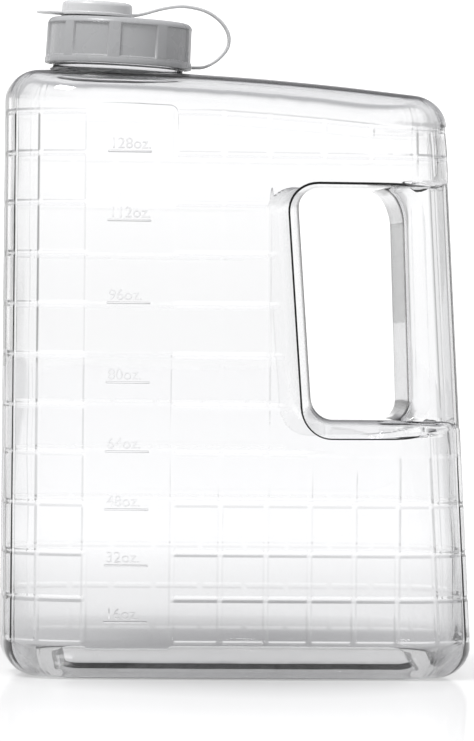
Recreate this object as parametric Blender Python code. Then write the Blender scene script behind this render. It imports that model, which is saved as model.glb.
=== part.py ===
"""Refrigerator drink jug: a slim clear one-gallon bottle with a through handle, a screw cap and a strapped stopper.

Metres, +Z up, origin at the middle of the base. The broad front looks along -Y, the neck is at -X and the
handle at +X. The bottle is one blown wall: an outer form less the same form drawn in by the wall's thickness.
"""

import math

import bmesh
import bpy
from mathutils import Matrix, Vector

# Bottle body
BODY_WIDTH = 0.2112
BODY_DEPTH = 0.0970
FACE_BOW = 0.0015
PLAN_RADIUS = 0.034
RIGHT_LEAN = math.radians(3.33)
WALL = 0.0012

# Heel and base
HEEL_RADIUS = 0.015
STANDING_RING = 0.008
PUSH_UP_RISE = 0.0025
PUSH_UP_SLOPE = 0.003

# Shoulder: its ridge is a long arc, highest left of the neck, with a slight crown from front to back
SHOULDER_HEIGHT = 0.2725
SHOULDER_PEAK_X = -0.075
SHOULDER_ARC_RADIUS = 1.25
SHOULDER_CROWN_RADIUS = 0.30
SHOULDER_ROUND_IN = 0.014
SHOULDER_ROUND_DOWN = 0.012

# Handle gap, as it is at the parting plane (y = 0)
GAP_BOTTOM = 0.1167
GAP_TOP = 0.2198
GAP_LEFT = 0.0298
GAP_RIGHT = 0.0735
GAP_LEFT_LEAN = math.radians(4.2)
GAP_RIGHT_LEAN = math.radians(2.2)
GAP_CORNER = 0.009
# How far the gap's edges have opened at the grip's front, and at the body's front face
LEFT_OPENING = (0.0030, 0.0086)
TOP_OPENING = (0.0005, 0.0015)
BOTTOM_OPENING = (0.0008, 0.0087)
CORNER_OPENING = (0.0010, 0.0040)

# Grip
GRIP_DEPTH = 0.066
GRIP_ROUND = 0.009
GRIP_STEP_IN = 0.0004
GRIP_ROOT = 0.010
GRIP_TOP_FLARE = (0.010, 0.017)
GRIP_BOTTOM_FLARE = (0.008, 0.009)

# Neck, leaning a little towards the handle
NECK_X = -0.0556
NECK_LEAN = math.radians(2.6)
NECK_RADIUS = 0.0293
NECK_WALL = 0.0018
LIP_HEIGHT = 0.0206
NECK_SINK = 0.008

# Screw cap, measured up the neck's axis from the shoulder
CAP_BOTTOM = 0.0021
CAP_HEIGHT = 0.0208
CAP_RADIUS = 0.0335
CAP_TOP_RADIUS = 0.0330
CAP_ROUND = 0.0024
CAP_WALL = 0.0019
CAP_TOP_WALL = 0.0020
PANELS = 9
PANEL_ANGLE = math.radians(31)
PANEL_FIRST = math.radians(-118.0)
PANEL_DEPTH = 0.0009
PANEL_BOTTOM = 0.0031
PANEL_TOP = 0.0183

# Pouring hole in the cap and the stopper in it, left of the cap's axis
SPOUT_OFFSET = -0.0108
SPOUT_RADIUS = 0.0135
SPOUT_RIM_RADIUS = 0.0162
SPOUT_RIM_HEIGHT = 0.0008
DOME_RADIUS = 0.0159
DOME_HEIGHT = 0.0052
DOME_ROUND = 0.0022
FLANGE_RADIUS = 0.0168
FLANGE_THICKNESS = 0.0014
PLUG_DEPTH = 0.0050
PLUG_WALL = 0.0015
TAB_REACH = 0.0272
TAB_WIDTH = 0.0130
FIT_GAP = 0.0003

# Strap: a flat moulded strip from the stopper's flange round to the foot of the cap's skirt
STRAP_WIDTH = 0.0045
STRAP_THICKNESS = 0.0013
STRAP_ROUTE = (
    (-0.0524, 0.2970),
    (-0.0444, 0.2984),
    (-0.0350, 0.3010),
    (-0.0258, 0.3021),
    (-0.0165, 0.3003),
    (-0.0100, 0.2964),
    (-0.0062, 0.2915),
    (-0.0052, 0.2868),
    (-0.0066, 0.2823),
    (-0.0110, 0.2777),
    (-0.0165, 0.2748),
    (-0.0215, 0.2744),
)

# Facets
CORNER_STEPS = 9
LONG_STEPS = 8
END_STEPS = 2
ARC_STEPS = 6
ROUND_STEPS = 64
STRAP_STEPS = 4


def clear_scene():
    for old in list(bpy.data.objects):
        bpy.data.objects.remove(old, do_unlink=True)


def plastic(name, color, roughness, alpha=1.0):
    material = bpy.data.materials.new(name)
    material.use_nodes = True
    shader = material.node_tree.nodes["Principled BSDF"]
    shader.inputs["Base Color"].default_value = (*color, 1.0)
    shader.inputs["Roughness"].default_value = roughness
    shader.inputs["Metallic"].default_value = 0.0
    shader.inputs["Alpha"].default_value = alpha
    return material


def add_object(name, mesh, material=None):
    """Makes an object of a bmesh, with its faces turned outwards and its round stretches shaded smooth."""
    bmesh.ops.remove_doubles(mesh, verts=mesh.verts, dist=1e-6)
    bmesh.ops.recalc_face_normals(mesh, faces=mesh.faces)
    data = bpy.data.meshes.new(name)
    mesh.to_mesh(data)
    mesh.free()
    data.shade_smooth()
    data.set_sharp_from_angle(angle=math.radians(35))
    if material:
        data.materials.append(material)
    obj = bpy.data.objects.new(name, data)
    bpy.context.scene.collection.objects.link(obj)
    return obj


def as_helper(obj):
    obj.hide_render = True
    obj.display_type = "WIRE"
    return obj


def combine(obj, other, operation):
    modifier = obj.modifiers.new(f"{operation.lower()} {other.name}", "BOOLEAN")
    modifier.operation = operation
    modifier.solver = "EXACT"
    modifier.object = other


def loft(name, rings, material=None):
    """A closed form through the rings, which all have as many points, with the two end rings filled."""
    mesh = bmesh.new()
    rows = [[mesh.verts.new(point) for point in ring] for ring in rings]
    for low, high in zip(rows, rows[1:]):
        for index in range(len(low)):
            mesh.faces.new((low[index - 1], low[index], high[index], high[index - 1]))
    mesh.faces.new(rows[0])
    mesh.faces.new(rows[-1])
    return add_object(name, mesh, material)


def turned(name, profile, material=None):
    """Spins a profile of (radius, height) points round the Z axis."""
    mesh = bmesh.new()
    verts = [mesh.verts.new((radius, 0, height)) for radius, height in profile]
    edges = [mesh.edges.new(pair) for pair in zip(verts, verts[1:])]
    bmesh.ops.spin(
        mesh,
        geom=verts + edges,
        axis=(0, 0, 1),
        cent=(0, 0, 0),
        steps=ROUND_STEPS,
        angle=math.tau,
        use_merge=True,
    )
    bmesh.ops.remove_doubles(mesh, verts=mesh.verts, dist=1e-6)
    on_axis = [vert for vert in mesh.verts if vert.co.xy.length < 1e-6]
    bmesh.ops.dissolve_verts(mesh, verts=on_axis)
    return add_object(name, mesh, material)


def rounded_rectangle(left, right, low, high, radius, long_steps, short_steps):
    """Points round a rectangle with round corners, anticlockwise, with its sides cut into equal steps."""
    corners = (
        (right - radius, high - radius, 0),
        (left + radius, high - radius, 90),
        (left + radius, low + radius, 180),
        (right - radius, low + radius, 270),
    )
    points = []
    for index, (x, y, start) in enumerate(corners):
        for step in range(CORNER_STEPS + 1):
            angle = math.radians(start + 90 * step / CORNER_STEPS)
            points.append(Vector((x + radius * math.cos(angle), y + radius * math.sin(angle))))
        next_x, next_y, next_start = corners[(index + 1) % 4]
        turn = math.radians(next_start)
        next_point = Vector((next_x + radius * math.cos(turn), next_y + radius * math.sin(turn)))
        steps = short_steps if index % 2 else long_steps
        last = points[-1]
        points += [last.lerp(next_point, step / steps) for step in range(1, steps)]
    return points


def right_side(z):
    """The right side's x, which leans in from the heel upwards."""
    return BODY_WIDTH / 2 - max(z - HEEL_RADIUS, 0) * math.tan(RIGHT_LEAN)


def shoulder_z(x, y):
    along = (x - SHOULDER_PEAK_X) ** 2 / (2 * SHOULDER_ARC_RADIUS)
    across = y**2 / (2 * SHOULDER_CROWN_RADIUS)
    return SHOULDER_HEIGHT - along - across


def plan(z, inset):
    """The body's outline seen from above, at the height z, drawn in by inset."""
    half_depth = BODY_DEPTH / 2
    left = -BODY_WIDTH / 2 + inset
    right = right_side(z) - inset
    outline = rounded_rectangle(
        left, right, -half_depth + inset, half_depth - inset, PLAN_RADIUS - inset, LONG_STEPS, END_STEPS
    )
    middle = (left + right) / 2
    for point in outline:
        reach = (point.x - middle) / ((right - left) / 2)
        point.y += math.copysign(FACE_BOW * (1 - reach**2), point.y)
    return outline


def level_ring(z, inset):
    return [Vector((x, y, z)) for x, y in plan(z, inset)]


def shoulder_ring(inset, drop, skin):
    """A ring of the shoulder: inset from the side, and drop below the shoulder's surface."""
    base = shoulder_z(BODY_WIDTH / 2, 0) - drop
    return [Vector((x, y, shoulder_z(x, y) - drop - skin)) for x, y in plan(base, inset + skin)]


def body_form(name, skin, material=None):
    """The body's closed form, drawn in all round by skin."""
    foot = HEEL_RADIUS + STANDING_RING
    rings = [
        level_ring(PUSH_UP_RISE + skin, foot + PUSH_UP_SLOPE + skin),
        level_ring(skin, foot + skin),
    ]
    for step in range(ARC_STEPS + 1):
        angle = math.radians(90 * step / ARC_STEPS)
        radius = HEEL_RADIUS - skin
        rings.append(level_ring(skin + radius * (1 - math.cos(angle)), skin + radius * (1 - math.sin(angle))))
    first = shoulder_ring(0, SHOULDER_ROUND_DOWN, skin)
    last_level = rings[-1]
    rings += [[a.lerp(b, part) for a, b in zip(last_level, first)] for part in (0.33, 0.67)]
    for step in range(ARC_STEPS + 1):
        angle = math.radians(90 * step / ARC_STEPS)
        inset = SHOULDER_ROUND_IN * (1 - math.cos(angle))
        rings.append(shoulder_ring(inset, SHOULDER_ROUND_DOWN * (1 - math.sin(angle)), skin))
    edge = rings[-1]
    centre = sum(edge, Vector()) / len(edge)
    for part in (0.3, 0.6, 0.9):
        inner = [point.lerp(centre, part) for point in edge]
        rings.append([Vector((x, y, shoulder_z(x, y) - skin)) for x, y, _ in inner])
    return loft(name, rings, material)


def gap_outline(y, opening, skin):
    """The handle gap's edge at the depth y; opening picks how far it has opened there. It runs out to the right."""
    left_more, top_more, bottom_more, corner_more = opening
    low = GAP_BOTTOM - bottom_more - skin
    high = GAP_TOP + top_more + skin
    middle = (GAP_BOTTOM + GAP_TOP) / 2
    radius = GAP_CORNER + corner_more + skin
    left = GAP_LEFT - left_more - skin
    outline = rounded_rectangle(left, BODY_WIDTH, low, high, radius, 2, 3)
    points = []
    for x, z in outline:
        reach = max(0.0, (BODY_WIDTH / 2 - x) / (BODY_WIDTH / 2 - left))
        points.append(Vector((x - reach * (z - middle) * math.tan(GAP_LEFT_LEAN), y, z)))
    return points


def gap_cutter(name, skin):
    """A plug through the whole depth, narrowest at the parting plane, that cuts the gap and its run to the right."""
    openings = list(zip(LEFT_OPENING, TOP_OPENING, BOTTOM_OPENING, CORNER_OPENING))
    half_grip = GRIP_DEPTH / 2
    face = BODY_DEPTH / 2 + FACE_BOW
    slope = 1 + 0.012 / (face - half_grip)
    beyond = [near + (far - near) * slope for near, far in zip(*openings)]
    stations = [(face + 0.012, beyond), (half_grip, openings[0])]
    rings = [gap_outline(-y, opening, skin) for y, opening in stations]
    rings.append(gap_outline(0, (0, 0, 0, 0), skin))
    rings += [gap_outline(y, opening, skin) for y, opening in reversed(stations)]
    return as_helper(loft(name, rings))


def flare(distance, size):
    """How far a fillet of size (across, along) stands out at the distance along from its far end."""
    across, along = size
    part = min(max(distance / along, 0.0), 1.0)
    return across * (1 - math.sqrt(1 - (1 - part) ** 2))


def round_end(y, skin):
    """How far the body's right end has curved back at the depth y."""
    radius = PLAN_RADIUS - skin
    past = max(abs(y) - (BODY_DEPTH / 2 - PLAN_RADIUS), 0)
    return radius - math.sqrt(radius**2 - past**2)


def grip_bar(name, skin):
    """The upright grip at the right, whose outer side follows the body's round end and whose ends run into it."""
    middle = (GAP_BOTTOM + GAP_TOP) / 2
    bottom_flare = [GAP_BOTTOM + GRIP_BOTTOM_FLARE[1] * step / 5 for step in range(5)]
    top_flare = [GAP_TOP - GRIP_TOP_FLARE[1] * step / 7 for step in range(6, -1, -1)]
    heights = [GAP_BOTTOM - GRIP_ROOT, *bottom_flare, middle, *top_flare, GAP_TOP + GRIP_ROOT]
    half = GRIP_DEPTH / 2 - skin
    rings = []
    for z in heights:
        inner = GAP_RIGHT - (z - middle) * math.tan(GAP_RIGHT_LEAN) + skin
        inner -= flare(GAP_TOP - z, GRIP_TOP_FLARE) + flare(z - GAP_BOTTOM, GRIP_BOTTOM_FLARE)
        outer = right_side(z) - GRIP_STEP_IN - skin
        radius = GRIP_ROUND - skin
        section = rounded_rectangle(inner, outer, -half, half, radius, 2, 6)
        for point in section:
            across = min(max((point.x - inner - radius) / (outer - inner - 2 * radius), 0.0), 1.0)
            point.x -= round_end(point.y, skin) * across
        rings.append([Vector((x, y, z)) for x, y in section])
    return as_helper(loft(name, rings))


def neck_place():
    """Where the neck's own frame stands: on the shoulder, leaning towards the handle."""
    foot = Vector((NECK_X, 0, shoulder_z(NECK_X, 0)))
    return Matrix.Translation(foot) @ Matrix.Rotation(NECK_LEAN, 4, "Y")


def neck_form(name, skin, top):
    radius = NECK_RADIUS - skin
    form = turned(name, [(0, -NECK_SINK), (radius, -NECK_SINK), (radius, top), (0, top)])
    form.matrix_world = neck_place()
    return as_helper(form)


def make_bottle():
    clear = plastic("clear plastic", (0.86, 0.87, 0.90), 0.06, alpha=0.35)
    bottle = body_form("jug_body", 0, clear)
    combine(bottle, gap_cutter("gap_outer", 0), "DIFFERENCE")
    combine(bottle, grip_bar("grip_outer", 0), "UNION")
    combine(bottle, neck_form("neck_outer", 0, LIP_HEIGHT), "UNION")
    hollow = as_helper(body_form("hollow", WALL))
    combine(hollow, gap_cutter("gap_inner", WALL), "DIFFERENCE")
    combine(hollow, grip_bar("grip_inner", WALL), "UNION")
    combine(hollow, neck_form("neck_inner", NECK_WALL, LIP_HEIGHT + 0.01), "UNION")
    combine(bottle, hollow, "DIFFERENCE")
    return bottle


def cap_profile():
    """The cap's section, from under its top down the inside of the skirt, up the outside and over the round rim."""
    shelf = CAP_HEIGHT - CAP_TOP_WALL
    inside = CAP_RADIUS - CAP_WALL
    points = [(0, shelf), (inside - 0.002, shelf), (inside, shelf - 0.002), (inside, 0), (CAP_RADIUS, 0)]
    for step in range(ARC_STEPS + 1):
        angle = math.radians(90 * step / ARC_STEPS)
        points.append((
            CAP_TOP_RADIUS - CAP_ROUND * (1 - math.cos(angle)),
            CAP_HEIGHT - CAP_ROUND * (1 - math.sin(angle)),
        ))
    return points + [(0, CAP_HEIGHT)]


def panel_cutter(index):
    """One recess in the skirt: a slice of a ring, standing past the skirt's outside."""
    centre = PANEL_FIRST + index * math.tau / PANELS
    near = CAP_RADIUS - PANEL_DEPTH
    far = CAP_RADIUS + 0.002
    steps = 6
    angles = [centre + PANEL_ANGLE * (step / steps - 0.5) for step in range(steps + 1)]
    around = [Vector((near * math.cos(a), near * math.sin(a), 0)) for a in angles]
    around += [Vector((far * math.cos(a), far * math.sin(a), 0)) for a in reversed(angles)]
    draft = (CAP_RADIUS - CAP_TOP_RADIUS) * PANEL_TOP / CAP_HEIGHT
    shrink = (near - draft) / near
    bottom = [point + Vector((0, 0, PANEL_BOTTOM)) for point in around]
    top = [point * shrink + Vector((0, 0, PANEL_TOP)) for point in around]
    cutter = as_helper(loft(f"panel_cutter_{index}", [bottom, top]))
    cutter.matrix_world = neck_place() @ Matrix.Translation((0, 0, CAP_BOTTOM))
    return cutter


def spout_place(height):
    return neck_place() @ Matrix.Translation((SPOUT_OFFSET, 0, height))


def make_cap():
    white = plastic("white cap plastic", (0.62, 0.63, 0.64), 0.35)
    cap = turned("screw_cap", cap_profile(), white)
    cap.matrix_world = neck_place() @ Matrix.Translation((0, 0, CAP_BOTTOM))
    for index in range(PANELS):
        combine(cap, panel_cutter(index), "DIFFERENCE")
    top = CAP_BOTTOM + CAP_HEIGHT
    rim = turned("spout_rim", [
        (0, -0.001),
        (SPOUT_RIM_RADIUS, -0.001),
        (SPOUT_RIM_RADIUS, SPOUT_RIM_HEIGHT),
        (0, SPOUT_RIM_HEIGHT),
    ])
    rim.matrix_world = spout_place(top)
    combine(cap, as_helper(rim), "UNION")
    hole = turned("spout_hole", [(0, -0.006), (SPOUT_RADIUS, -0.006), (SPOUT_RADIUS, 0.004), (0, 0.004)])
    hole.matrix_world = spout_place(top)
    combine(cap, as_helper(hole), "DIFFERENCE")
    return cap


def catmull(points, steps):
    """Points along a smooth curve through the given ones."""
    padded = [points[0] * 2 - points[1], *points, points[-1] * 2 - points[-2]]
    curve = []
    for before, start, end, after in zip(padded, padded[1:], padded[2:], padded[3:]):
        for step in range(steps):
            t = step / steps
            curve.append(0.5 * (
                2 * start
                + (end - before) * t
                + (2 * before - 5 * start + 4 * end - after) * t**2
                + (3 * start - before - 3 * end + after) * t**3
            ))
    return curve + [points[-1]]


def strap_form():
    route = catmull([Vector((x, 0, z)) for x, z in STRAP_ROUTE], STRAP_STEPS)
    rings = []
    for index, point in enumerate(route):
        ahead = route[min(index + 1, len(route) - 1)] - route[max(index - 1, 0)]
        normal = Vector((-ahead.z, 0, ahead.x)).normalized() * STRAP_THICKNESS / 2
        side = Vector((0, STRAP_WIDTH / 2, 0))
        rings.append([point - normal - side, point + normal - side, point + normal + side, point - normal + side])
    return as_helper(loft("strap", rings))


def tab_form():
    """The lift tab: a flat strip with a round end, reaching left past the cap's edge."""
    half = TAB_WIDTH / 2
    root = -(DOME_RADIUS + SPOUT_RADIUS) / 2
    points = []
    for step in range(ARC_STEPS * 2 + 1):
        angle = math.radians(90 + 180 * step / (ARC_STEPS * 2))
        points.append((-TAB_REACH + half + half * math.cos(angle), half * math.sin(angle)))
    points += [(root, -half), (root, half)]
    low = 0.0001
    high = FLANGE_THICKNESS - 0.0001
    tab = loft("lift_tab", [[Vector((x, y, z)) for x, y in points] for z in (low, high)])
    return as_helper(tab)


def dome_profile():
    """The stopper's section, from its top down the dome, round the flange and up inside the plug."""
    top = FLANGE_THICKNESS + DOME_HEIGHT
    plug = SPOUT_RADIUS - FIT_GAP
    points = [(0, top)]
    for step in range(ARC_STEPS, -1, -1):
        angle = math.radians(90 * step / ARC_STEPS)
        points.append((
            DOME_RADIUS - DOME_ROUND * (1 - math.cos(angle)),
            top - DOME_ROUND * (1 - math.sin(angle)),
        ))
    points += [
        (DOME_RADIUS, FLANGE_THICKNESS),
        (FLANGE_RADIUS, FLANGE_THICKNESS),
        (FLANGE_RADIUS, 0),
        (plug, 0),
        (plug - 0.0004, -PLUG_DEPTH),
        (plug - PLUG_WALL, -PLUG_DEPTH),
        (plug - PLUG_WALL, top - PLUG_WALL),
        (0, top - PLUG_WALL),
    ]
    return points


def make_stopper():
    white = plastic("white stopper plastic", (0.70, 0.71, 0.72), 0.32)
    stopper = turned("stopper_strap", dome_profile(), white)
    place = spout_place(CAP_BOTTOM + CAP_HEIGHT + SPOUT_RIM_HEIGHT + FIT_GAP)
    stopper.matrix_world = place
    tab = tab_form()
    tab.matrix_world = place
    combine(stopper, tab, "UNION")
    combine(stopper, strap_form(), "UNION")
    return stopper


clear_scene()
make_bottle()
make_cap()
make_stopper()
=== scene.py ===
import math

import bmesh
import bpy
from mathutils import Matrix, Vector, noise


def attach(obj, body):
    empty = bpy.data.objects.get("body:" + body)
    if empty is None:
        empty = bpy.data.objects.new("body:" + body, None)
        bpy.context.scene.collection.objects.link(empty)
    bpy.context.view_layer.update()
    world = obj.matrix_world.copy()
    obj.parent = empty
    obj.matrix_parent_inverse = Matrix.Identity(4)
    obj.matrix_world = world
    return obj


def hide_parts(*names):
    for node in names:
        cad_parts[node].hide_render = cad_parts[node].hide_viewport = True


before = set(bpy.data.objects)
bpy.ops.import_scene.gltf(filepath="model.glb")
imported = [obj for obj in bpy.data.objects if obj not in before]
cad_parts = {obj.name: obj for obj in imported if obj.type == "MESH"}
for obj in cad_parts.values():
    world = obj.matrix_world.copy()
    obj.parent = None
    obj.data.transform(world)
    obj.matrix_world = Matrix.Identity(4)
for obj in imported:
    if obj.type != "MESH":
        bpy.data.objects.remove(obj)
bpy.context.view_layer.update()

# Outer wall
# The jug is one piece of clear plastic, blown in a two-part mould whose parting plane is y = 0.
# Its front, back and ends carry a shallow grid of grooves, with a smooth strip left for the measure.
BODY_WIDTH = 0.2112
BODY_DEPTH = 0.0970
FACE_BOW = 0.0015
PLAN_RADIUS = 0.034
FLAT_END = BODY_DEPTH / 2 - PLAN_RADIUS
CORNER_LENGTH = math.pi / 2 * PLAN_RADIUS
RIGHT_LEAN = math.radians(3.33)
HEEL_RADIUS = 0.015
STANDING_RING = 0.008
PUSH_UP_RISE = 0.0025
PUSH_UP_SLOPE = 0.003
SHOULDER_HEIGHT = 0.2725
SHOULDER_PEAK_X = -0.075
SHOULDER_ARC_RADIUS = 1.25
SHOULDER_CROWN_RADIUS = 0.30
SHOULDER_ROUND_IN = 0.014
SHOULDER_ROUND_DOWN = 0.012
SHOULDER_STEPS = 10
HEEL_STEPS = 10
SIDE_SLOPE_FROM = 0.2365
SIDE_TOP = 0.2545
NECK_X = -0.0556
# How high each level groove is, and how far round from the left end each upright one is
LEVEL_GROOVES = (0.0163, 0.0363, 0.0565, 0.0785, 0.101, 0.122, 0.1445, 0.167, 0.1895, 0.212, 0.234, 0.2525)
LEFT_UPRIGHTS = (0.0115, 0.0285, 0.0454, 0.0675, 0.0870, 0.1065, 0.1280, 0.1485)
RIGHT_UPRIGHTS = ((0.1680, 0.1727), (0.1880, 0.1939), (0.2075, 0.2151))
END_UPRIGHTS = ((0.0519, 0.0390), (0.0314, 0.0245), (0.0110, 0.0110))
STRIP_MIDDLE = 4
GROOVE_FLAT = 0.0008
GROOVE_HALF = 0.0013
GROOVE_DEPTH = 0.00026
GROOVE_DEPTH_HIGH = 0.00015
BACK_SHARE = 0.3
GROOVE_ROWS = (-0.0018, -0.0013, -0.0008, 0.0008, 0.0013, 0.0018)
# The handle gap at the parting plane, and how far it has opened at the grip's front and at the face
GAP_BOTTOM = 0.1167
GAP_TOP = 0.2198
GAP_LEFT = 0.0298
GAP_MIDDLE = (GAP_BOTTOM + GAP_TOP) / 2
GAP_LEFT_LEAN = math.radians(4.2)
GAP_CORNER = 0.009
LEFT_OPENING = (0.0030, 0.0086)
TOP_OPENING = (0.0005, 0.0015)
BOTTOM_OPENING = (0.0008, 0.0087)
CORNER_OPENING = (0.0010, 0.0040)
OPENINGS = (LEFT_OPENING, TOP_OPENING, BOTTOM_OPENING, CORNER_OPENING)
FACE_OPENING = (LEFT_OPENING[1], TOP_OPENING[1], BOTTOM_OPENING[1], CORNER_OPENING[1])
END_LIP = 0.0046
GRIP_DEPTH = 0.066


def right_side(z):
    return BODY_WIDTH / 2 - max(z - HEEL_RADIUS, 0) * math.tan(RIGHT_LEAN)


def shoulder_z(x, y):
    along = (x - SHOULDER_PEAK_X) ** 2 / (2 * SHOULDER_ARC_RADIUS)
    return SHOULDER_HEIGHT - along - y**2 / (2 * SHOULDER_CROWN_RADIUS)


def half_length(z):
    """The way round the front from the left end's middle to the right end's middle."""
    return 2 * FLAT_END + 2 * CORNER_LENGTH + right_side(z) + BODY_WIDTH / 2 - 2 * PLAN_RADIUS


def on_outline(along, z):
    """A point that far round the front half outline from the left end's middle, and the way out there."""
    left = -BODY_WIDTH / 2
    right = right_side(z)
    face = right - left - 2 * PLAN_RADIUS
    if along < FLAT_END:
        x, y, normal = left, -along, Vector((-1, 0, 0))
    elif along < FLAT_END + CORNER_LENGTH:
        turn = (along - FLAT_END) / PLAN_RADIUS
        normal = Vector((-math.cos(turn), -math.sin(turn), 0))
        x = left + PLAN_RADIUS + PLAN_RADIUS * normal.x
        y = -FLAT_END + PLAN_RADIUS * normal.y
    elif along < FLAT_END + CORNER_LENGTH + face:
        x = left + PLAN_RADIUS + along - FLAT_END - CORNER_LENGTH
        y, normal = -BODY_DEPTH / 2, Vector((0, -1, 0))
    elif along < FLAT_END + 2 * CORNER_LENGTH + face:
        turn = (along - FLAT_END - CORNER_LENGTH - face) / PLAN_RADIUS
        normal = Vector((math.sin(turn), -math.cos(turn), 0))
        x = right - PLAN_RADIUS + PLAN_RADIUS * normal.x
        y = -FLAT_END + PLAN_RADIUS * normal.y
    else:
        x, y, normal = right, along - 2 * FLAT_END - 2 * CORNER_LENGTH - face, Vector((1, 0, 0))
    reach = (x - (left + right) / 2) / ((right - left) / 2)
    return Vector((x, y - FACE_BOW * (1 - reach**2), z)), normal


def uprights(z):
    """How far round from the left end's middle one half's upright grooves are at the height z."""
    blend = min(max((z - GAP_BOTTOM) / (GAP_TOP - GAP_BOTTOM), 0.0), 1.0)
    places = list(LEFT_UPRIGHTS)
    places += [low + (high - low) * blend for low, high in RIGHT_UPRIGHTS]
    places += [half_length(z) - low - (high - low) * blend for low, high in END_UPRIGHTS]
    return places


def half_columns(z):
    """The columns of one half: six at each upright groove, and more where the handle gap starts."""
    places = uprights(z)
    columns = [0.0]
    for index, place in enumerate(places + [half_length(z)]):
        start = columns[-1]
        last = index == len(places)
        end = place if last else place + GROOVE_ROWS[0]
        between = 14 if index == len(LEFT_UPRIGHTS) else 2
        columns += [start + (end - start) * step / (between + 1) for step in range(1, between + 1)]
        columns += [place] if last else [place + offset for offset in GROOVE_ROWS]
    return columns


def step_between(value, low, high):
    part = min(max((value - low) / (high - low), 0.0), 1.0)
    return part * part * (3 - 2 * part)


def groove(distance):
    """A groove's depth across its width, from 1 on its flat floor to 0 at its edges."""
    return 1 - step_between(abs(distance), GROOVE_FLAT, GROOVE_HALF)


def gap_distance(x, z, opening):
    """How far outside the handle gap's edge a point of the broad face is. The gap runs out to the right."""
    left_more, top_more, bottom_more, corner_more = opening
    radius = GAP_CORNER + corner_more
    low = GAP_BOTTOM - bottom_more
    high = GAP_TOP + top_more
    left = GAP_LEFT - left_more - (z - GAP_MIDDLE) * math.tan(GAP_LEFT_LEAN)
    across = left + radius - x
    up = abs(z - (low + high) / 2) - (high - low) / 2 + radius
    return Vector((max(across, 0), max(up, 0))).length + min(max(across, up), 0) - radius


def opening_at(y):
    """How far the gap's left edge, top, bottom and corners have opened at the depth y."""
    half_grip = GRIP_DEPTH / 2
    if y <= half_grip:
        return [near * (y / half_grip) ** 1.6 for near, far in OPENINGS]
    part = (y - half_grip) / (BODY_DEPTH / 2 + FACE_BOW - half_grip)
    return [near + (far - near) * part for near, far in OPENINGS]


def relief(along, x, z, back):
    """How far the grid's grooves sink the wall's outside at a point."""
    clear = step_between(gap_distance(x, z, FACE_OPENING), 0.006, 0.011)
    clear *= step_between(z, 0.0148, 0.0163) * (1 - step_between(z, 0.2525, 0.2545))
    depth = GROOVE_DEPTH + (GROOVE_DEPTH_HIGH - GROOVE_DEPTH) * step_between(z, 0.058, 0.10)
    depth *= BACK_SHARE if back else 1
    places = uprights(z)
    if not back:
        places.pop(STRIP_MIDDLE)
    strip_left, strip_right = LEFT_UPRIGHTS[STRIP_MIDDLE - 1], LEFT_UPRIGHTS[STRIP_MIDDLE + 1]
    in_strip = not back and strip_left < along < strip_right
    near_upright = min(abs(along - place) for place in places)
    near_level = 1.0 if in_strip else min(abs(z - level) for level in LEVEL_GROOVES)
    return clear * depth * max(groove(near_upright), groove(near_level))


def lip(distance, towards_end, skin):
    """How far the wall tucks in beside the gap's edge, as a round lip at the right end."""
    reach = END_LIP * max(towards_end, 0) - skin
    if reach <= 0:
        return 0
    past = min(max(reach + skin - distance, 0.0), reach)
    return reach - math.sqrt(reach**2 - past**2)


def wall_rows():
    """The heights of the rows up the side: close at each groove and at the gap's two ends."""
    rows = {round(level + offset, 5) for level in LEVEL_GROOVES for offset in GROOVE_ROWS}
    spread = []
    for low, high in zip(LEVEL_GROOVES, LEVEL_GROOVES[1:]):
        spread += [round(low + (high - low) * part, 5) for part in (0.36, 0.64)]
    low_edge = GAP_BOTTOM - BOTTOM_OPENING[1]
    high_edge = GAP_TOP + TOP_OPENING[1]
    spread += [round(low_edge - 0.0008 * step, 5) for step in range(-11, 7)]
    spread += [round(high_edge + 0.0008 * step, 5) for step in range(-2, 7)]
    for height in spread:
        if min(abs(height - row) for row in rows) > 0.0004:
            rows.add(height)
    return sorted(row for row in rows if row > HEEL_RADIUS)


def wrapped(rings):
    """A closed form through rings of points: a grid wrapped round them, with its two ends filled."""
    around = len(rings[0])
    mesh = bmesh.new()
    bmesh.ops.create_grid(mesh, x_segments=around, y_segments=len(rings) - 1, size=1)
    for vert in mesh.verts:
        column = round((vert.co.x + 1) / 2 * around)
        row = round((vert.co.y + 1) / 2 * (len(rings) - 1))
        vert.co = rings[row][column % around]
    bmesh.ops.remove_doubles(mesh, verts=mesh.verts, dist=1e-6)
    bmesh.ops.holes_fill(mesh, edges=[edge for edge in mesh.edges if edge.is_boundary], sides=0)
    return mesh


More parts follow.
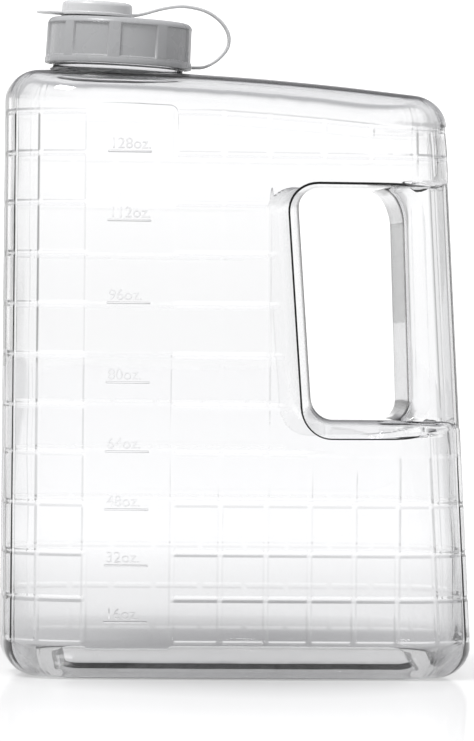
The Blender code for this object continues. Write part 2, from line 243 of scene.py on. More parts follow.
def wall_form(skin):
    """The bottle's closed form drawn in by skin. Its inside is smooth, without the grid."""
    radius = INNER_HEEL_RADIUS if skin else HEEL_RADIUS
    floor = BASE_WALL if skin else 0
    foot_skin = skin + FOOT_EXTRA if skin else 0
    foot = radius + STANDING_RING - floor
    round_in = INNER_ROUND if skin else SHOULDER_ROUND_IN
    round_down = INNER_ROUND if skin else SHOULDER_ROUND_DOWN
    top_skin = TOP_WALL if skin else 0
    rows = [row for row in wall_rows() if row > floor + radius]
    low_rows = [(PUSH_UP_RISE + floor, foot + PUSH_UP_SLOPE + foot_skin), (floor, foot + foot_skin)]
    for step in range(HEEL_STEPS):
        angle = math.pi / 2 * step / HEEL_STEPS
        low_rows.append((floor + radius * (1 - math.cos(angle)), foot_skin + radius * (1 - math.sin(angle))))
    shoulder_base = shoulder_z(BODY_WIDTH / 2, 0) - SHOULDER_ROUND_DOWN
    count = len(half_columns(0.1))
    rings = []
    for row in range(len(low_rows) + len(rows) + SHOULDER_STEPS + 5):
        on_heel = row < len(low_rows)
        on_side = not on_heel and row < len(low_rows) + len(rows)
        step = row - len(low_rows) - len(rows)
        if on_heel:
            z = low_rows[row][0]
        else:
            z = rows[row - len(low_rows)] if on_side else shoulder_base
        columns = half_columns(z)
        ring = []
        for index in range(2 * (count - 1)):
            back = index >= count
            column = 2 * (count - 1) - index if back else index
            point, normal = on_outline(columns[column], z)
            if on_heel:
                point -= normal * low_rows[row][1]
            elif on_side:
                depth = abs(point.y) - END_LIP * abs(normal.x * normal.y)
                edge = opening_at(max(depth, GRIP_DEPTH / 2))
                tuck = lip(gap_distance(point.x, z, edge), normal.x, skin)
                sunk = 0 if skin else relief(columns[column], point.x, z, back)
                thick = foot_skin + (skin - foot_skin) * step_between(z, 0.018, 0.062)
                point -= normal * (thick + tuck + sunk)
                start = shoulder_z(point.x, point.y) - round_down - top_skin - 0.0005
                point.z -= max(SIDE_TOP - start, 0) * step_between(z, SIDE_SLOPE_FROM, SIDE_TOP)
            else:
                angle = math.pi / 2 * min(step, SHOULDER_STEPS) / SHOULDER_STEPS
                point -= normal * (skin + round_in * (1 - math.cos(angle)))
                towards = max(step - SHOULDER_STEPS, 0) * 0.23
                point.x += (NECK_X - point.x) * towards
                point.y -= point.y * towards
                drop = round_down * (1 - math.sin(angle))
                point.z = shoulder_z(point.x, point.y) - drop - top_skin
            if skin:
                streak = Vector((point.x, point.y, point.z / STREAK)) / WAVE_SCALE
                point += normal * (WAVE + END_WAVE * (1 - abs(normal.y))) * noise.noise(streak)
            if back:
                point.y = -point.y
            ring.append(point)
        rings.append(ring)
    return wrapped(rings)


def as_object(name, mesh, material=None, place=None, sharp=35):
    """Makes an object of a bmesh, with its place worked in, its faces outwards and smooth shading."""
    if place:
        bmesh.ops.transform(mesh, matrix=place, verts=mesh.verts)
    bmesh.ops.recalc_face_normals(mesh, faces=mesh.faces)
    data = bpy.data.meshes.new(name)
    mesh.to_mesh(data)
    mesh.free()
    data.shade_smooth()
    data.set_sharp_from_angle(angle=math.radians(sharp))
    if material:
        data.materials.append(material)
    piece = bpy.data.objects.new(name, data)
    bpy.context.scene.collection.objects.link(piece)
    return piece


jug = as_object("jug", wall_form(0))

# Handle gap and grip
# The hand goes through a gap in the jug's upper right, where the mould pinches its two sides together.
# The grip beyond it is a hollow upright that runs into the body at both ends.
GAP_RIGHT = 0.0735
GAP_RIGHT_LEAN = math.radians(2.2)
GRIP_ROUND = 0.009
GRIP_STEP_IN = 0.0004
GRIP_ROOT = 0.010
GRIP_TOP_FLARE = (0.010, 0.017)
GRIP_BOTTOM_FLARE = (0.008, 0.009)


def work_in(piece, other, operation):
    """Cuts the other shape from the piece or joins it on, for good, and takes the other shape away."""
    modifier = piece.modifiers.new(operation.lower(), "BOOLEAN")
    modifier.operation = operation
    modifier.solver = "MANIFOLD"
    modifier.object = other
    worked = piece.evaluated_get(bpy.context.evaluated_depsgraph_get())
    data = bpy.data.meshes.new_from_object(worked)
    piece.modifiers.clear()
    piece.data = data
    bpy.data.objects.remove(other, do_unlink=True)
    return piece


def rounded_rectangle(left, right, low, high, radius, long_steps, short_steps, corner_steps=10):
    """Points round a rectangle with round corners, with its sides cut into equal steps."""
    corners = (
        (right - radius, high - radius, 0),
        (left + radius, high - radius, 90),
        (left + radius, low + radius, 180),
        (right - radius, low + radius, 270),
    )
    points = []
    for index, (x, y, start) in enumerate(corners):
        for step in range(corner_steps + 1):
            angle = math.radians(start + 90 * step / corner_steps)
            points.append(Vector((x + radius * math.cos(angle), y + radius * math.sin(angle))))
        next_x, next_y, next_start = corners[(index + 1) % 4]
        turn = math.radians(next_start)
        next_point = Vector((next_x + radius * math.cos(turn), next_y + radius * math.sin(turn)))
        steps = short_steps if index % 2 else long_steps
        last = points[-1]
        points += [last.lerp(next_point, step / steps) for step in range(1, steps)]
    return points


def gap_outline(y, opening, skin):
    """The handle gap's edge at the depth y, running out past the right end."""
    left_more, top_more, bottom_more, corner_more = opening
    low = GAP_BOTTOM - bottom_more - skin
    high = GAP_TOP + top_more + skin
    radius = GAP_CORNER + corner_more + skin
    left = GAP_LEFT - left_more - skin
    points = []
    for x, z in rounded_rectangle(left, BODY_WIDTH, low, high, radius, 8, 24):
        reach = max(0.0, (BODY_WIDTH / 2 - x) / (BODY_WIDTH / 2 - left))
        points.append(Vector((x - reach * (z - GAP_MIDDLE) * math.tan(GAP_LEFT_LEAN), y, z)))
    return points


def gap_form(skin):
    """The plug of air through the handle gap, narrowest at the parting plane."""
    stations = []
    face = BODY_DEPTH / 2 + FACE_BOW
    for y in (0.0, 0.008, 0.016, 0.025, GRIP_DEPTH / 2, 0.037, 0.041, 0.045, face, face + 0.012):
        stations.append((y, opening_at(y)))
    rings = [gap_outline(-y, opening, skin) for y, opening in reversed(stations)]
    rings += [gap_outline(y, opening, skin) for y, opening in stations[1:]]
    return wrapped(rings)


def flare(distance, size):
    """How far a fillet of that size, across and along, stands out at the distance from its far end."""
    across, along = size
    part = min(max(distance / along, 0.0), 1.0)
    return across * (1 - math.sqrt(1 - (1 - part) ** 2))


def round_end(y, skin):
    """How far the body's right end has curved back at the depth y."""
    radius = PLAN_RADIUS - skin
    past = max(abs(y) - FLAT_END, 0)
    return radius - math.sqrt(radius**2 - past**2)


def grip_form(skin):
    """The upright grip, whose outer side follows the body's round end and whose ends run into it."""
    heights = [GAP_BOTTOM - GRIP_ROOT, GAP_BOTTOM - 0.004]
    heights += [GAP_BOTTOM + GRIP_BOTTOM_FLARE[1] * step / 10 for step in range(11)]
    heights += [GAP_BOTTOM + 0.009 + 0.0077 * step for step in range(1, 10)]
    heights += [GAP_TOP - GRIP_TOP_FLARE[1] * step / 14 for step in range(14, -1, -1)]
    heights += [GAP_TOP + 0.004, GAP_TOP + GRIP_ROOT]
    rings = []
    for z in heights:
        inner = GAP_RIGHT - (z - GAP_MIDDLE) * math.tan(GAP_RIGHT_LEAN) + skin
        outer = right_side(z) - GRIP_STEP_IN - skin
        half = GRIP_DEPTH / 2 - skin
        radius = GRIP_ROUND - skin
        section = rounded_rectangle(inner, outer, -half, half, radius, 6, 20)
        for point in section:
            across = min(max((point.x - inner - radius) / (outer - inner - 2 * radius), 0.0), 1.0)
            left_more, top_more, bottom_more, corner_more = opening_at(abs(point.y))
            foot = flare(z - GAP_BOTTOM + bottom_more + skin, GRIP_BOTTOM_FLARE)
            head = flare(GAP_TOP + top_more + skin - z, GRIP_TOP_FLARE)
            point.x -= (foot + head) * (1 - across) + round_end(point.y, skin) * across
        rings.append([Vector((x, y, z)) for x, y in section])
    return wrapped(rings)


work_in(jug, as_object("gap", gap_form(0)), "DIFFERENCE")
work_in(jug, as_object("grip", grip_form(0)), "UNION")

# Neck
# The round neck stands at the left end of the shoulder and leans a little towards the handle.
# It is blown with the jug, with a fillet and a bead at its foot. The thread under the cap is left out.
NECK_LEAN = math.radians(2.6)
NECK_RADIUS = 0.0293
LIP_HEIGHT = 0.0206
NECK_SINK = 0.008
NECK_FILLET = 0.0016
NECK_BEAD = 0.0007


def turned(profile, steps=96):
    """Spins a closed profile of (radius, height) points, whose two ends are on the Z axis."""
    mesh = bmesh.new()
    verts = [mesh.verts.new((radius, 0, height)) for radius, height in profile]
    edges = [mesh.edges.new(pair) for pair in zip(verts, verts[1:])]
    bmesh.ops.spin(
        mesh, geom=verts + edges, axis=(0, 0, 1), cent=(0, 0, 0), steps=steps, angle=math.tau, use_merge=True
    )
    bmesh.ops.remove_doubles(mesh, verts=mesh.verts, dist=1e-6)
    return mesh


def neck_place():
    """Where the neck's own frame stands: on the shoulder, leaning towards the handle."""
    foot = Vector((NECK_X, 0, shoulder_z(NECK_X, 0)))
    return Matrix.Translation(foot) @ Matrix.Rotation(NECK_LEAN, 4, "Y")


def neck_profile(skin, top):
    """The neck's section: a small fillet at its foot, a bead, and the plain wall under the cap."""
    radius = NECK_RADIUS - skin
    if skin:
        return [(0, -NECK_SINK), (radius, -NECK_SINK), (radius, top), (0, top)]
    foot = [
        (radius + NECK_FILLET * (1 - math.sin(turn)), NECK_FILLET * (1 - math.cos(turn)) - 0.0003)
        for turn in (0, 0.4, 0.8, 1.2, math.pi / 2)
    ]
    bead = [
        (radius + NECK_BEAD * math.sin(math.pi * part), 0.0014 + 0.0011 * part)
        for part in (0.1, 0.25, 0.5, 0.75, 0.9)
    ]
    low = [(0, -NECK_SINK), (radius, -NECK_SINK), (radius, -0.002)]
    high = [(radius, 0.0028), (radius, top - 0.0006), (radius - 0.0006, top), (0, top)]
    return low + foot + bead + high


work_in(jug, as_object("neck", turned(neck_profile(0, LIP_HEIGHT)), place=neck_place()), "UNION")

# Measure
# Eight raised lines with plain raised numbers stand on the front's smooth strip, one for each pint.
# They are part of the blown wall, as is the fine raised outline at the strip's upper right.
MEASURES = (
    (16, 0.0259),
    (32, 0.0510),
    (48, 0.0759),
    (64, 0.1016),
    (80, 0.1323),
    (96, 0.1676),
    (112, 0.2042),
    (128, 0.2348),
)
MEASURE_X = -0.0534
MEASURE_LENGTH = 0.0195
LINE_DEPTH = 0.0012
LINE_HEIGHT = 0.0010
LINE_ROUND = 0.00035
LINE_SINK = 0.0002
NUMBER_LEFT = -0.0624
NUMBER_HEIGHT = 0.0050
NUMBER_RISE = 0.0004
NUMBER_SINK = 0.0002
NUMBER_BEVEL = 0.0002
NUMBER_ABOVE_LINE = 0.0013
STRIP_TOP = 0.2555
STRIP_RIGHT = -0.0322
STRIP_CORNER = 0.0035
STRIP_EDGE_LOW = 0.2450
STRIP_EDGE_RADIUS = 0.00022


def front_at(x, z):
    """The smooth front face's y."""
    left, right = -BODY_WIDTH / 2, right_side(z)
    reach = (x - (left + right) / 2) / ((right - left) / 2)
    return -BODY_DEPTH / 2 - FACE_BOW * (1 - reach**2)


def onto_front(mesh, x, z):
    """Moves a mark made at the origin to its place, following the front's slight bow."""
    for vert in mesh.verts:
        vert.co += Vector((x, 0, z))
        vert.co.y += front_at(vert.co.x, z)
    return mesh


def measure_line():
    """A raised line with soft edges, half sunk in the wall."""
    size = Matrix.Diagonal((MEASURE_LENGTH, LINE_DEPTH, LINE_HEIGHT, 1))
    mesh = bmesh.new()
    bmesh.ops.create_cube(mesh, size=1, matrix=size)
    bmesh.ops.bevel(
        mesh, geom=mesh.edges, offset=LINE_ROUND, affect="EDGES", segments=2, profile=0.5, material=-1
    )
    bmesh.ops.translate(mesh, vec=(0, LINE_SINK, 0), verts=mesh.verts)
    return mesh


def measure_text(words, height):
    """A raised number for the measure, as high as real type is above its baseline."""
    curve = bpy.data.curves.new("measure text", "FONT")
    curve.body = words
    curve.size = height / 0.72
    curve.extrude = NUMBER_RISE - NUMBER_BEVEL
    curve.bevel_depth = NUMBER_BEVEL
    curve.offset = -NUMBER_BEVEL
    curve.bevel_resolution = 1
    curve.resolution_u = 3
    holder = bpy.data.objects.new("measure text", curve)
    bpy.context.scene.collection.objects.link(holder)
    mesh = bmesh.new()
    made = holder.evaluated_get(bpy.context.evaluated_depsgraph_get()).to_mesh()
    mesh.from_mesh(made)
    bpy.data.objects.remove(holder, do_unlink=True)
    bmesh.ops.remove_doubles(mesh, verts=mesh.verts, dist=1e-6)
    bmesh.ops.triangulate(mesh, faces=mesh.faces)
    bmesh.ops.rotate(mesh, cent=(0, 0, 0), matrix=Matrix.Rotation(math.pi / 2, 3, "X"), verts=mesh.verts)
    bmesh.ops.translate(mesh, vec=(0, NUMBER_SINK, 0), verts=mesh.verts)
    return mesh


def strip_edge():
    """The fine ridge along the strip's top and round its upper right corner."""
    turns = [math.pi / 2 * step / 8 for step in range(9)]
    route = [(-0.0665, STRIP_TOP + 0.0009), (-0.0500, STRIP_TOP + 0.0006)]
    for turn in turns:
        x = STRIP_RIGHT - STRIP_CORNER * (1 - math.sin(turn))
        route.append((x, STRIP_TOP - STRIP_CORNER * (1 - math.cos(turn))))
    route.append((STRIP_RIGHT + 0.0004, STRIP_EDGE_LOW))
    rings = []
    for x, z in route:
        across = Vector((z - STRIP_EDGE_LOW, 0, x - route[0][0])).normalized()
        ring = []
        for turn in [math.tau * step / 8 for step in range(8)]:
            out = across * math.cos(turn) + Vector((0, math.sin(turn), 0))
            ring.append(Vector((x, front_at(x, z), z)) + STRIP_EDGE_RADIUS * out)
        rings.append(ring)
    return wrapped(rings)


for ounces, height in MEASURES:
    work_in(jug, as_object("measure line", onto_front(measure_line(), MEASURE_X, height)), "UNION")
    number = measure_text(f"{ounces}oz.", NUMBER_HEIGHT)
    number = onto_front(number, NUMBER_LEFT, height + NUMBER_ABOVE_LINE)
    work_in(jug, as_object("number", number), "UNION")
work_in(jug, as_object("strip edge", strip_edge()), "UNION")

# Inside of the wall
# The blown plastic is 1.2 mm thick on the sides, and thicker where the mould stretched it least:
# round the heel, in the base and at the shoulder. Its inside is smooth, with faint upright streaks.
WALL = 0.0012
FOOT_EXTRA = 0.0010
BASE_WALL = 0.0018
INNER_HEEL_RADIUS = 0.0165
INNER_ROUND = 0.0116
TOP_WALL = 0.0015
NECK_WALL = 0.0018
WAVE = 0.00003
END_WAVE = 0.00016
WAVE_SCALE = 0.0045
STREAK = 7


def put_node(tree, kind, values, sources=None, **settings):
    """Adds a shader node, with its sockets' values, the outputs that feed it and its settings."""
    made = tree.nodes.new(kind)
    for name, setting in settings.items():
        setattr(made, name, setting)
    for socket, value in values.items():
        made.inputs[socket].default_value = value
    for socket, source in (sources or {}).items():
        tree.links.new(source, made.inputs[socket])
    return made


def clear_plastic():
    """Clear blown plastic: glossy, with a faint cool tint and a slight unevenness from the blowing."""
    material = bpy.data.materials.new("clear jug plastic")
    material.use_nodes = True
    tree = material.node_tree
    shader = tree.nodes["Principled BSDF"]
    shader.inputs["Base Color"].default_value = (0.988, 0.989, 0.991, 1)
    shader.inputs["IOR"].default_value = 1.5
    shader.inputs["Transmission Weight"].default_value = 1
    place = tree.nodes.new("ShaderNodeTexCoord").outputs["Object"]
    flow = put_node(tree, "ShaderNodeTexNoise", {"Scale": 45, "Detail": 2}, {"Vector": place}).outputs["Fac"]
    gloss = put_node(tree, "ShaderNodeMapRange", {"To Min": 0.008, "To Max": 0.026}, {"Value": flow})
    bump = put_node(tree, "ShaderNodeBump", {"Strength": 0.05, "Distance": 0.0002}, {"Height": flow})
    tree.links.new(gloss.outputs["Result"], shader.inputs["Roughness"])
    tree.links.new(bump.outputs["Normal"], shader.inputs["Normal"])
    tint_values = {"Color": (0.463, 0.463, 0.472, 1), "Density": 100}
    tint = put_node(tree, "ShaderNodeVolumeAbsorption", tint_values)
    tree.links.new(tint.outputs["Volume"], tree.nodes["Material Output"].inputs["Volume"])
    return material


def finish_piece(piece, material, sharp):
    """Gives a worked piece its one material and its smooth shading."""
    piece.data.materials.clear()
    piece.data.materials.append(material)
    piece.data.shade_smooth()
    piece.data.set_sharp_from_angle(angle=math.radians(sharp))


hollow = as_object("hollow", wall_form(WALL))
work_in(hollow, as_object("gap inside", gap_form(WALL)), "DIFFERENCE")
work_in(hollow, as_object("grip inside", grip_form(WALL)), "UNION")
neck_bore = turned(neck_profile(NECK_WALL, LIP_HEIGHT + 0.01))
work_in(hollow, as_object("neck bore", neck_bore, place=neck_place()), "UNION")
work_in(jug, hollow, "DIFFERENCE")
finish_piece(jug, clear_plastic(), 38)
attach(jug, "root")
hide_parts("jug_body")

# Screw cap
# The cap is moulded in white plastic, with nine sunken panels round its skirt for the hand to turn it by.
# It screws over the neck. Its pouring hole has a low rim and is left of its middle.
CAP_BOTTOM = 0.0021
CAP_HEIGHT = 0.0208
CAP_RADIUS = 0.0332
CAP_TOP_RADIUS = 0.0326
CAP_ROUND = 0.0030
CAP_WALL = 0.0019
CAP_TOP_WALL = 0.0020
PANELS = 9
PANEL_HALF = 15.5
PANEL_FIRST = -118.0
PANEL_DEPTH = 0.0009
PANEL_BOTTOM = 0.0031
PANEL_TOP = 0.0183
PANEL_SLOPE = 0.0006
SLOPE_TURN = 1.1
SPOUT_OFFSET = -0.0108
SPOUT_RADIUS = 0.0135
SPOUT_RIM_RADIUS = 0.0162
SPOUT_RIM_HEIGHT = 0.0008


def moulded_plastic(name, color, roughness, through):
    """Satin moulded plastic: light soaks in a little, and its fine grain and flow show in the gloss."""
    material = bpy.data.materials.new(name)
    material.use_nodes = True
    tree = material.node_tree
    shader = tree.nodes["Principled BSDF"]
    shader.inputs["IOR"].default_value = 1.49
    shader.inputs["Subsurface Weight"].default_value = through
    shader.inputs["Subsurface Radius"].default_value = (1, 1, 1)
    shader.inputs["Subsurface Scale"].default_value = 0.002
    place = tree.nodes.new("ShaderNodeTexCoord").outputs["Object"]
    flow = put_node(tree, "ShaderNodeTexNoise", {"Scale": 90, "Detail": 3}, {"Vector": place}).outputs["Fac"]
    tones = {
        "Color1": (*[part * 0.985 for part in color], 1),
        "Color2": (*[min(part * 1.015, 1) for part in color], 1),
    }
    tone = put_node(tree, "ShaderNodeMixRGB", tones, {"Fac": flow})
    reach = {"To Min": roughness - 0.05, "To Max": roughness + 0.07}
    gloss = put_node(tree, "ShaderNodeMapRange", reach, {"Value": flow})
    grain = put_node(tree, "ShaderNodeTexNoise", {"Scale": 2600, "Detail": 2}, {"Vector": place})
    depth = {"Strength": 0.12, "Distance": 0.0001}
    bump = put_node(tree, "ShaderNodeBump", depth, {"Height": grain.outputs["Fac"]})
    tree.links.new(tone.outputs["Color"], shader.inputs["Base Color"])
    tree.links.new(gloss.outputs["Result"], shader.inputs["Roughness"])
    tree.links.new(bump.outputs["Normal"], shader.inputs["Normal"])
    return material


def arc(radius, height, size, start, end, steps):
    """Points on a quarter round or part of one, as (radius, height) pairs of a turned section."""
    turns = [math.radians(start + (end - start) * step / steps) for step in range(steps + 1)]
    return [(radius + size * math.cos(turn), height + size * math.sin(turn)) for turn in turns]


def panel_columns():
    """Where the skirt's columns are in one panel's share, in degrees from the panel's middle."""
    half_share = 180 / PANELS
    bare = half_share - PANEL_HALF
    floor = PANEL_HALF - SLOPE_TURN
    left = [-half_share, -half_share + bare / 2, -PANEL_HALF - 0.5]
    left += [-PANEL_HALF, -PANEL_HALF + SLOPE_TURN / 2]
    middle = [-floor + 2 * floor * step / 12 for step in range(13)]
    return left + middle + [-place for place in left[:0:-1]]


def cap_mesh():
    """The cap's shell, spun from its section, with the panels pressed into its skirt."""
    shelf = CAP_HEIGHT - CAP_TOP_WALL
    inside = CAP_RADIUS - CAP_WALL
    lean = (CAP_RADIUS - CAP_TOP_RADIUS) / CAP_HEIGHT
    rows = (
        PANEL_BOTTOM - 0.0004,
        PANEL_BOTTOM,
        PANEL_BOTTOM + PANEL_SLOPE / 2,
        PANEL_BOTTOM + PANEL_SLOPE,
        (PANEL_BOTTOM + PANEL_TOP) / 2,
        PANEL_TOP - PANEL_SLOPE,
        PANEL_TOP - PANEL_SLOPE / 2,
        PANEL_TOP,
    )
    profile = [(0, shelf), (inside - 0.002, shelf), (inside, shelf - 0.002)]
    profile += [(inside, 0.0004), (inside + 0.0003, 0)]
    profile += arc(CAP_RADIUS - 0.0005, 0.0005, 0.0005, -90, 0, 4)
    profile += [(CAP_RADIUS, 0.0022), (CAP_RADIUS - 0.0002, 0.0027)]
    profile += [(CAP_RADIUS - 0.0002 - row * lean / 2, row) for row in rows]
    profile += arc(CAP_TOP_RADIUS - CAP_ROUND, CAP_HEIGHT - CAP_ROUND, CAP_ROUND, 0, 90, 10)
    profile += [(0, CAP_HEIGHT)]
    columns = panel_columns()
    around = PANELS * len(columns)
    mesh = turned(profile, around)
    for vert in mesh.verts:
        radius = vert.co.xy.length
        if radius < 1e-6:
            continue
        index = round(math.atan2(vert.co.y, vert.co.x) / math.tau * around) % around
        offset = columns[index % len(columns)]
        turn = math.radians(PANEL_FIRST + 360 / PANELS * (index // len(columns)) + offset)
        if radius > inside + 0.0004:
            across = step_between(PANEL_HALF - abs(offset), 0, SLOPE_TURN)
            up = step_between(min(vert.co.z - PANEL_BOTTOM, PANEL_TOP - vert.co.z), 0, PANEL_SLOPE)
            radius -= PANEL_DEPTH * across * up
        vert.co = Vector((radius * math.cos(turn), radius * math.sin(turn), vert.co.z))
    return mesh


def spout_place(height):
    return neck_place() @ Matrix.Translation((SPOUT_OFFSET, 0, height))


cap_top = CAP_BOTTOM + CAP_HEIGHT
cap = as_object("cap", cap_mesh(), place=neck_place() @ Matrix.Translation((0, 0, CAP_BOTTOM)))
rim_section = [(0, -0.001), (SPOUT_RIM_RADIUS, -0.001)]
rim_section += arc(SPOUT_RIM_RADIUS - 0.0004, SPOUT_RIM_HEIGHT - 0.0004, 0.0004, 0, 90, 4)
rim_section += [(0, SPOUT_RIM_HEIGHT)]
work_in(cap, as_object("spout rim", turned(rim_section), place=spout_place(cap_top)), "UNION")
hole_section = [(0, -0.006), (SPOUT_RADIUS, -0.006), (SPOUT_RADIUS, SPOUT_RIM_HEIGHT - 0.0003)]
hole_top = SPOUT_RADIUS + 0.0006
hole_section += [(hole_top, SPOUT_RIM_HEIGHT + 0.0003), (hole_top, 0.004), (0, 0.004)]
work_in(cap, as_object("spout hole", turned(hole_section), place=spout_place(cap_top)), "DIFFERENCE")
finish_piece(cap, moulded_plastic("cap plastic", (0.375, 0.378, 0.382), 0.27, 0.08), 50)
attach(cap, "root")
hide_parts("screw_cap")

# Stopper and strap
# The stopper is a softer, natural plastic: a low dome over a flange, a plug below and a tab to lift it by.
# A flat strip moulded with it loops out to the right and comes back to the foot of the cap.
DOME_RADIUS = 0.0159
DOME_HEIGHT = 0.0052
DOME_ROUND = 0.0022
FLANGE_RADIUS = 0.0168
FLANGE_THICKNESS = 0.0014
PLUG_DEPTH = 0.0050
PLUG_WALL = 0.0015
TAB_REACH = 0.0272
TAB_WIDTH = 0.0130
FIT_GAP = 0.0003
STRAP_WIDTH = 0.0045
STRAP_THICKNESS = 0.0013
STRAP_ROUND = 0.00045
STRAP_STEPS = 8
STRAP_ROUTE = (
    (-0.0524, 0.2970),
    (-0.0444, 0.2984),
    (-0.0350, 0.3010),
    (-0.0258, 0.3021),
    (-0.0165, 0.3003),
    (-0.0100, 0.2964),
    (-0.0062, 0.2915),
    (-0.0052, 0.2868),
    (-0.0066, 0.2823),
    (-0.0110, 0.2777),
    (-0.0165, 0.2748),
    (-0.0219, 0.2744),
)


def stopper_section():
    """The stopper's section, from its top down the dome, round the flange and up inside the plug."""
    top = FLANGE_THICKNESS + DOME_HEIGHT
    plug = SPOUT_RADIUS - FIT_GAP
    section = [(0, top), (0.0115, top - 0.00005)]
    section += arc(DOME_RADIUS - DOME_ROUND, top - DOME_ROUND, DOME_ROUND, 88, 0, 10)
    section += arc(DOME_RADIUS + 0.0003, FLANGE_THICKNESS + 0.0003, 0.0003, 180, 270, 3)
    section += arc(FLANGE_RADIUS - 0.0003, FLANGE_THICKNESS - 0.0003, 0.0003, 90, 0, 3)
    section += arc(FLANGE_RADIUS - 0.0003, 0.0003, 0.0003, 0, -90, 3)
    section += [(plug, 0), (plug - 0.0001, -PLUG_DEPTH + 0.0006), (plug - 0.0004, -PLUG_DEPTH)]
    inside = plug - PLUG_WALL
    return section + [(inside, -PLUG_DEPTH), (inside, top - PLUG_WALL), (0, top - PLUG_WALL)]


def lift_tab():
    """A flat tab with a round end and soft edges, running out to the left under the dome."""
    root = -(DOME_RADIUS + SPOUT_RADIUS) / 2
    middle = (root - TAB_REACH) / 2
    size = Matrix.Diagonal((root + TAB_REACH, TAB_WIDTH, FLANGE_THICKNESS - 0.0004, 1))
    mesh = bmesh.new()
    bmesh.ops.create_cube(mesh, size=1, matrix=Matrix.Translation((middle, 0, FLANGE_THICKNESS / 2)) @ size)
    upright = [edge for edge in mesh.edges if abs(edge.verts[0].co.z - edge.verts[1].co.z) > 1e-6]
    end = [edge for edge in upright if edge.verts[0].co.x < middle]
    bmesh.ops.bevel(
        mesh, geom=end, offset=TAB_WIDTH * 0.49, affect="EDGES", segments=12, profile=0.5, material=-1
    )
    rims = [edge for edge in mesh.edges if abs(edge.verts[0].co.z - edge.verts[1].co.z) < 1e-6]
    bmesh.ops.bevel(mesh, geom=rims, offset=0.0003, affect="EDGES", segments=3, profile=0.5, material=-1)
    return mesh


def strap_mesh():
    """The strap: a flat strip with round edges, along a smooth curve through its route."""
    points = [Vector((x, 0, z)) for x, z in STRAP_ROUTE]
    padded = [points[0] * 2 - points[1], *points, points[-1] * 2 - points[-2]]
    route = []
    for before, start, end, after in zip(padded, padded[1:], padded[2:], padded[3:]):
        for step in range(STRAP_STEPS):
            t = step / STRAP_STEPS
            bend = (2 * before - 5 * start + 4 * end - after) * t**2
            bend += (3 * start - before - 3 * end + after) * t**3
            route.append(0.5 * (2 * start + (end - before) * t + bend))
    route.append(points[-1])
    half_thick, half_wide = STRAP_THICKNESS / 2, STRAP_WIDTH / 2
    section = rounded_rectangle(-half_thick, half_thick, -half_wide, half_wide, STRAP_ROUND, 3, 1, 3)
    rings = []
    for index, point in enumerate(route):
        ahead = route[min(index + 1, len(route) - 1)] - route[max(index - 1, 0)]
        out = Vector((-ahead.z, 0, ahead.x)).normalized()
        rings.append([point + out * x + Vector((0, y, 0)) for x, y in section])
    return wrapped(rings)


stopper_place = spout_place(cap_top + SPOUT_RIM_HEIGHT + FIT_GAP)
stopper = as_object("stopper", turned(stopper_section()), place=stopper_place)
work_in(stopper, as_object("lift tab", lift_tab(), place=stopper_place), "UNION")
work_in(stopper, as_object("strap", strap_mesh()), "UNION")
finish_piece(stopper, moulded_plastic("stopper plastic", (0.58, 0.582, 0.584), 0.26, 0.20), 50)
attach(stopper, "root")
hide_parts("stopper_strap")

# Floor
# A glossy white sheet that glows though it is no lamp, so its glow is painted light. The glow is dimmed just
# behind the jug as a painted shadow, and a little dimmed aside as painted shade, so that the jug's heel
# shows grey against the white.
SIGHT_SLANT = 0.096


def grey_ramp(tree, stops, source, **settings):
    """Adds a ramp of greys through the stops, in place of its black end."""
    made = tree.nodes.new("ShaderNodeValToRGB")
    for name, setting in settings.items():
        setattr(made.color_ramp, name, setting)
    for position, strength in stops:
        stop = made.color_ramp.elements.new(position)
        stop.color = (strength, strength, strength, 1)
    made.color_ramp.elements.remove(made.color_ramp.elements[0])
    tree.links.new(source, made.inputs["Fac"])
    return made.outputs["Color"]


def smooth_range(tree, source, reach, ends):
    """Adds a smooth step from one value to the other over a reach of the source."""
    values = {"From Min": reach[0], "From Max": reach[1], "To Min": ends[0], "To Max": ends[1]}
    sources = {"Value": source}
    made = put_node(tree, "ShaderNodeMapRange", values, sources, interpolation_type="SMOOTHSTEP")
    return made.outputs["Result"]


def arithmetic(tree, operation, *terms):
    """Adds a sum whose terms are numbers or outputs."""
    numbers = {index: term for index, term in enumerate(terms) if isinstance(term, float)}
    sources = {index: term for index, term in enumerate(terms) if not isinstance(term, float)}
    return put_node(tree, "ShaderNodeMath", numbers, sources, operation=operation).outputs["Value"]


def painted_floor_light_and_shadow(tree):
    """How strongly the floor glows, as painted light: dimmed just behind the jug as a painted shadow, and a
    little dimmed aside as painted shade.
    """
    place = tree.nodes.new("ShaderNodeTexCoord").outputs["Object"]
    rings = {"Location": (0, -0.6, 0), "Scale": (1 / 0.10, 1 / 0.20, 1)}
    scaled = put_node(tree, "ShaderNodeMapping", rings, {"Vector": place}).outputs["Vector"]
    reach = put_node(tree, "ShaderNodeVectorMath", {}, {0: scaled}, operation="LENGTH").outputs["Value"]
    # This ramp paints the jug's shadow on the floor: the glow is weakest just behind the jug.
    stops = ((0.04, 0.26), (0.10, 0.42), (0.18, 0.70), (0.55, 0.90))
    glow_with_painted_shadow = grey_ramp(tree, stops, arithmetic(tree, "DIVIDE", reach, 8.0))
    split = put_node(tree, "ShaderNodeSeparateXYZ", {}, {"Vector": place}).outputs
    aside = arithmetic(tree, "MULTIPLY_ADD", split["Y"], -SIGHT_SLANT, split["X"])
    aside = arithmetic(tree, "MULTIPLY_ADD", split["Y"], -0.06, arithmetic(tree, "ABSOLUTE", aside))
    # The glow is also dimmed to each side of the line of sight, as painted shade.
    return arithmetic(tree, "MULTIPLY", glow_with_painted_shadow, smooth_range(tree, aside, (0.10, 0.34), (1.0, 0.7)))


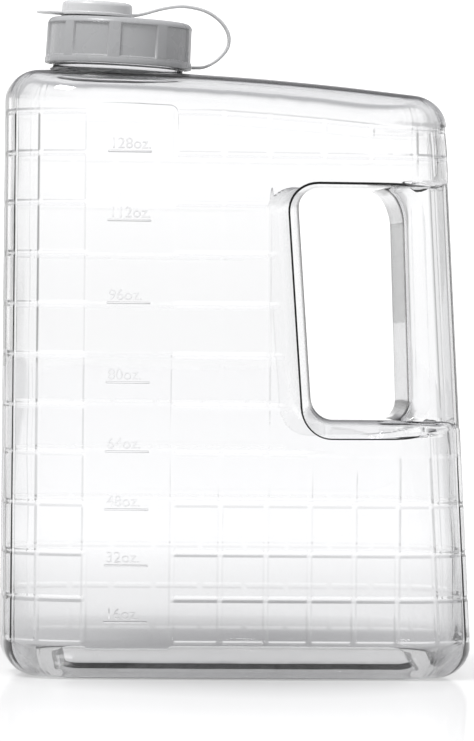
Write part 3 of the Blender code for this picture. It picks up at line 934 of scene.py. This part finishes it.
floor_mesh = bmesh.new()
bmesh.ops.create_grid(floor_mesh, x_segments=1, y_segments=1, size=20)
floor = as_object("floor", floor_mesh)
floor_paint = bpy.data.materials.new("white floor with painted glow")
floor_paint.use_nodes = True
floor_tree = floor_paint.node_tree
floor_shader = floor_tree.nodes["Principled BSDF"]
floor_shader.inputs["Base Color"].default_value = (0.34, 0.34, 0.34, 1)
floor_shader.inputs["Roughness"].default_value = 0.6
floor_shader.inputs["Specular IOR Level"].default_value = 0
floor_shader.inputs["Emission Color"].default_value = (1, 1, 1, 1)
# The floor's emission is painted light, with a painted shadow behind the jug.
floor_tree.links.new(painted_floor_light_and_shadow(floor_tree), floor_shader.inputs["Emission Strength"])
floor_gloss = put_node(floor_tree, "ShaderNodeBsdfGlossy", {"Roughness": 0.10})
floor_sources = {1: floor_shader.outputs["BSDF"], 2: floor_gloss.outputs["BSDF"]}
floor_mix = put_node(floor_tree, "ShaderNodeMixShader", {"Fac": 0.28}, floor_sources)
floor_tree.links.new(floor_mix.outputs["Shader"], floor_tree.nodes["Material Output"].inputs["Surface"])
floor.data.materials.append(floor_paint)

# Studio light
# A bright backdrop behind the jug, with a darker strip on each side of it that draws the edges of
# the clear plastic, under a dimmer ceiling. One soft lamp stands at the upper left.
BACKDROP_STOPS = (
    (0.0, 0.50),
    (0.45, 0.42),
    (0.72, 0.90),
    (0.93, 0.95),
    (0.965, 0.38),
    (0.984, 0.38),
    (0.996, 1.0),
)
SOFTBOX_WIDTH = 0.7
SOFTBOX_HEIGHT = 0.5
SOFTBOX_WATTS = 30

world = bpy.data.worlds.new("white studio")
world.use_nodes = True
studio = world.node_tree
direction = studio.nodes.new("ShaderNodeTexCoord").outputs["Generated"]
upward = put_node(studio, "ShaderNodeSeparateXYZ", {}, {"Vector": direction}).outputs["Z"]
facing = put_node(
    studio, "ShaderNodeVectorMath", {1: (SIGHT_SLANT, 0.995, 0)}, {0: direction}, operation="DOT_PRODUCT"
)
width = grey_ramp(studio, BACKDROP_STOPS, facing.outputs["Value"], interpolation="EASE")
horizon = smooth_range(studio, upward, (0.0, 0.04), (1.19, 1.295))
backdrop = studio.nodes["Background"]
backdrop.inputs["Color"].default_value = (1, 1, 1, 1)
studio.links.new(arithmetic(studio, "MULTIPLY", width, horizon), backdrop.inputs["Strength"])
overhead_glow = smooth_range(studio, upward, (0.35, 0.75), (0.52, 0.95))
overhead = put_node(studio, "ShaderNodeBackground", {"Color": (0.97, 0.97, 1, 1)})
studio.links.new(overhead_glow, overhead.inputs["Strength"])
ceiling = smooth_range(studio, upward, (0.075, 0.20), (1.0, 0.0))
studio_sources = {"Fac": ceiling, 1: overhead.outputs["Background"], 2: backdrop.outputs["Background"]}
studio_mix = put_node(studio, "ShaderNodeMixShader", {}, studio_sources)
studio.links.new(studio_mix.outputs["Shader"], studio.nodes["World Output"].inputs["Surface"])
bpy.context.scene.world = world

softbox_data = bpy.data.lights.new("softbox", "AREA")
softbox_data.shape = "RECTANGLE"
softbox_data.size = SOFTBOX_WIDTH
softbox_data.size_y = SOFTBOX_HEIGHT
softbox_data.energy = SOFTBOX_WATTS
softbox = bpy.data.objects.new("softbox", softbox_data)
bpy.context.scene.collection.objects.link(softbox)
softbox.location = (-0.9, -0.7, 2.0)
softbox.rotation_euler = (Vector((0, 0, 0.2)) - softbox.location).to_track_quat("-Z", "Y").to_euler()

# Camera
# A long lens at the height of the jug's middle, a little to the left of its front.
# It looks down by less than half a degree and is rolled slightly, as in the photograph.
CAMERA_DISTANCE = 2.5
CAMERA_TURN = math.radians(-5.5)
CAMERA_HEIGHT = 0.156
CAMERA_TILT = math.radians(0.42)
CAMERA_ROLL = math.radians(0.6)

camera_data = bpy.data.cameras.new("camera")
camera_data.sensor_width = 36
camera_data.lens = 268
camera_data.dof.use_dof = False
camera = bpy.data.objects.new("camera", camera_data)
bpy.context.scene.collection.objects.link(camera)
camera.location = (
    CAMERA_DISTANCE * math.sin(CAMERA_TURN),
    -CAMERA_DISTANCE * math.cos(CAMERA_TURN),
    CAMERA_HEIGHT,
)
level = Matrix.Rotation(CAMERA_TURN, 4, "Z") @ Matrix.Rotation(math.pi / 2 - CAMERA_TILT, 4, "X")
camera.rotation_euler = (level @ Matrix.Rotation(CAMERA_ROLL, 4, "Z")).to_euler()
bpy.context.scene.camera = camera
bpy.context.scene.view_settings.view_transform = "Standard"
